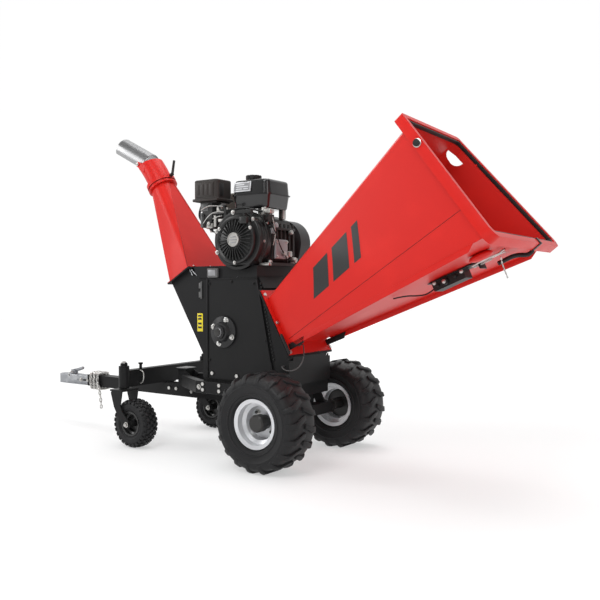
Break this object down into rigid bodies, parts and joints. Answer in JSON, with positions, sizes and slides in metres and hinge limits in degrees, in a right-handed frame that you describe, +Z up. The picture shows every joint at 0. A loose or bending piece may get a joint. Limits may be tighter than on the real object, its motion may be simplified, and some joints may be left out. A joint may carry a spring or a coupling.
{
  "type": "wood chipper",
  "caption": "Towable petrol wood chipper with a large tapered infeed hopper, drum rotor, swivelling discharge chute and a wheeled chassis.",
  "frame": {"origin": "on the ground at the middle of the whole machine's length and width", "axes": "+X towards the hopper mouth, -X towards the tow coupler, +Z up"},
  "size_m": [2.6622, 0.8, 1.5302],
  "materials": {
    "black_paint": "satin powder coat",
    "red_paint": "gloss powder coat",
    "galvanised": "zinc",
    "zinc_bolt": "zinc",
    "tyre": "matte",
    "silver_rim": "silver paint",
    "hub_black": "satin",
    "black_rim": "satin",
    "tool_steel": "ground",
    "cast_steel": "cast",
    "cast_bearing": "painted casting",
    "belt_rubber": "matte",
    "guard_paint": "satin",
    "engine_alloy": "black coated casting",
    "engine_black": "satin",
    "black_plastic": "fine grain",
    "tank_gloss": "gloss",
    "filter_plastic": "satin",
    "bare_alloy": "die cast",
    "muffler_steel": "heat resistant",
    "brushed_steel": "brushed",
    "cable_sheath": "smooth"
  },
  "bodies": {
    "root": {"drawbar": "black_paint", "front_beam": "black_paint", "rail_left": "black_paint", "rail_right": "black_paint", "rear_cross_member": "black_paint", "axle_beam": "black_paint", "coupler_body": "galvanised", "safety_chain": "galvanised", "side_plate_left": "black_paint", "side_plate_right": "black_paint", "side_cover": "black_paint", "cutter_trough": "black_paint", "housing_roof": "black_paint", "bed_knife": "tool_steel", "infeed_frame": "black_paint", "shaft_bearings": "cast_bearing", "drive_belt": "belt_rubber", "belt_guard": "guard_paint", "engine_deck": "black_paint", "crankcase": "engine_alloy", "engine_cylinder": "engine_alloy", "fan_shroud": "engine_black", "recoil_cover": "engine_black", "fuel_tank": "tank_gloss", "air_filter": "filter_plastic", "carburettor": "bare_alloy", "muffler": "muffler_steel", "discharge_chute": "red_paint", "infeed_hopper": "red_paint", "stop_switch": "black_plastic", "kill_cable": "cable_sheath", "frame_bolts": "zinc_bolt"},
    "wheel_left": {"tyre_left": "tyre", "rim_left": "silver_rim", "hub_left": "hub_black"},
    "wheel_right": {"tyre_right": "tyre", "rim_right": "silver_rim", "hub_right": "hub_black"},
    "caster_left": {"caster_fork_left": "black_paint"},
    "caster_right": {"caster_fork_right": "black_paint"},
    "caster_wheel_left": {"caster_tyre_left": "tyre", "caster_rim_left": "black_rim"},
    "caster_wheel_right": {"caster_tyre_right": "tyre", "caster_rim_right": "black_rim"},
    "rotor": {"rotor_drum": "cast_steel", "rotor_knives": "tool_steel", "rotor_shaft": "tool_steel", "rotor_pulley": "cast_steel"},
    "crank": {"crankshaft": "tool_steel", "clutch_pulley": "cast_steel"},
    "chute_head": {"chute_elbow": "red_paint"},
    "deflector": {"deflector_hood": "brushed_steel"},
    "lock_lever": {"elbow_lock_lever": "black_plastic"},
    "stop_frame": {"stop_bar": "red_paint"},
    "coupler_latch": {"coupler_lever": "galvanised"},
    "tank_cap": {"fuel_cap": "black_plastic"},
    "throttle": {"throttle_lever": "black_plastic"},
    "choke": {"choke_lever": "black_plastic"},
    "switch_knob": {"engine_switch": "black_plastic"},
    "starter_grip": {"recoil_grip": "black_plastic"}
  },
  "joints": [
    {"name": "wheel_left_spin", "type": "hinge", "parent": "root", "child": "wheel_left", "pos_m": [0.33586, -0.3, 0.203], "axis": [0, 1, 0], "continuous": true},
    {"name": "wheel_right_spin", "type": "hinge", "parent": "root", "child": "wheel_right", "pos_m": [0.33586, 0.3, 0.203], "axis": [0, 1, 0], "continuous": true},
    {"name": "caster_left_swivel", "type": "hinge", "parent": "root", "child": "caster_left", "pos_m": [-0.51314, -0.287, 0.3], "axis": [0, 0, 1], "continuous": true},
    {"name": "caster_right_swivel", "type": "hinge", "parent": "root", "child": "caster_right", "pos_m": [-0.51314, 0.287, 0.3], "axis": [0, 0, 1], "continuous": true},
    {"name": "caster_wheel_left_spin", "type": "hinge", "parent": "caster_left", "child": "caster_wheel_left", "pos_m": [-0.43515, -0.287, 0.1145], "axis": [0, 1, 0], "continuous": true},
    {"name": "caster_wheel_right_spin", "type": "hinge", "parent": "caster_right", "child": "caster_wheel_right", "pos_m": [-0.43515, 0.287, 0.1145], "axis": [0, 1, 0], "continuous": true},
    {"name": "rotor_spin", "type": "hinge", "parent": "root", "child": "rotor", "pos_m": [-0.00915, 0, 0.552], "axis": [0, 1, 0], "continuous": true},
    {"name": "crank_spin", "type": "hinge", "parent": "root", "child": "crank", "pos_m": [0.09385, 0, 0.962], "axis": [0, 1, 0], "continuous": true},
    {"name": "chute_swivel", "type": "hinge", "parent": "root", "child": "chute_head", "pos_m": [-0.54149, 0, 1.26925], "axis": [-0.515, 0, 0.8572], "continuous": true},
    {"name": "deflector_tilt", "type": "hinge", "parent": "chute_head", "child": "deflector", "pos_m": [-0.64914, 0, 1.378], "axis": [0, 1, 0], "range_deg": [-18, 18]},
    {"name": "lock_lever_turn", "type": "hinge", "parent": "chute_head", "child": "lock_lever", "pos_m": [-0.47498, 0, 1.31971], "axis": [0.8572, 0, 0.515], "range_deg": [0, 75]},
    {"name": "stop_bar_push", "type": "hinge", "parent": "root", "child": "stop_frame", "pos_m": [1.01223, 0, 1.26808], "axis": [0, 1, 0], "range_deg": [0, 3], "stiffness_Nm_per_rad": 500, "springref_deg": -4.98},
    {"name": "coupler_lever_lift", "type": "hinge", "parent": "root", "child": "coupler_latch", "pos_m": [-1.22914, 0, 0.279], "axis": [0, -1, 0], "range_deg": [0, 55]},
    {"name": "fuel_cap_twist", "type": "hinge", "parent": "root", "child": "tank_cap", "pos_m": [0.08085, -0.045, 1.253], "axis": [0, 0, 1], "range_deg": [0, 90]},
    {"name": "throttle_move", "type": "hinge", "parent": "root", "child": "throttle", "pos_m": [0.00985, -0.161, 1.076], "axis": [0, 1, 0], "range_deg": [-30, 30]},
    {"name": "choke_move", "type": "hinge", "parent": "root", "child": "choke", "pos_m": [-0.13814, -0.143, 1.086], "axis": [0, 1, 0], "range_deg": [0, 60]},
    {"name": "engine_switch_turn", "type": "hinge", "parent": "root", "child": "switch_knob", "pos_m": [0.20986, -0.134, 1.057], "axis": [0, 1, 0], "range_deg": [0, 60]},
    {"name": "starter_pull", "type": "slide", "parent": "root", "child": "starter_grip", "axis": [0, 0, 1], "range_m": [0, 0.5]}
  ],
  "couplings": [
    {"joint": "crank_spin", "follows": "rotor_spin", "ratio": 1.5833}
  ]
}
